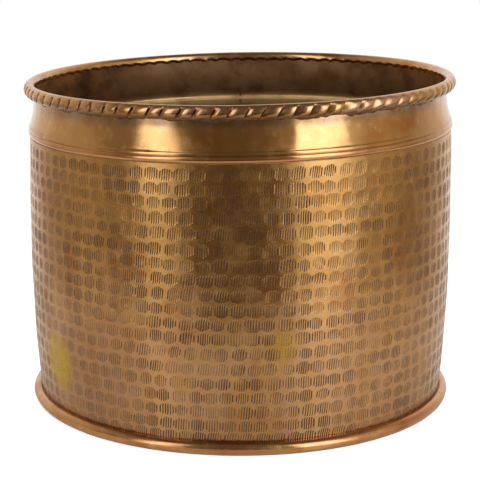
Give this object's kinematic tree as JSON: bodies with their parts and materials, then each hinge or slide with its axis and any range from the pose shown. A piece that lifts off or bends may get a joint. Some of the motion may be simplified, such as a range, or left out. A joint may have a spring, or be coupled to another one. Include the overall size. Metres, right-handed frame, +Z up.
{
  "type": "cachepot",
  "caption": "Large round brass cachepot: barrel wall for punched hammer marks, half-round foot, smooth flared neck over a hollow bead, and a heavy rim notched like rope.",
  "frame": {"origin": "on the surface that the pot stands on, under the axis of its wall", "axes": "+Z up along the wall's axis; -Y towards the picture's camera; +X to the right, the side where the leaning mouth is higher; the seams are at +Y"},
  "size_m": [0.2999, 0.3, 0.2296],
  "materials": {
    "hammered_brass": "aged, punched all over, satin",
    "collar_brass": "aged, smooth, worn polish",
    "rope_brass": "aged, worn bright on the ridges",
    "foot_brass": "aged, copper toned, worn bright",
    "floor_brass": "dull, dark with age",
    "braze": "rough cast, filed",
    "solder": "dull grey tin solder"
  },
  "bodies": {
    "root": {"hammered_wall": "hammered_brass", "wall_seam_braze": "braze", "foot_ring": "foot_brass", "base_pan": "floor_brass", "base_solder": "solder", "collar": "collar_brass", "collar_seam_braze": "braze", "collar_solder": "solder", "rope_rim": "rope_brass", "rim_solder": "solder"}
  },
  "joints": []
}
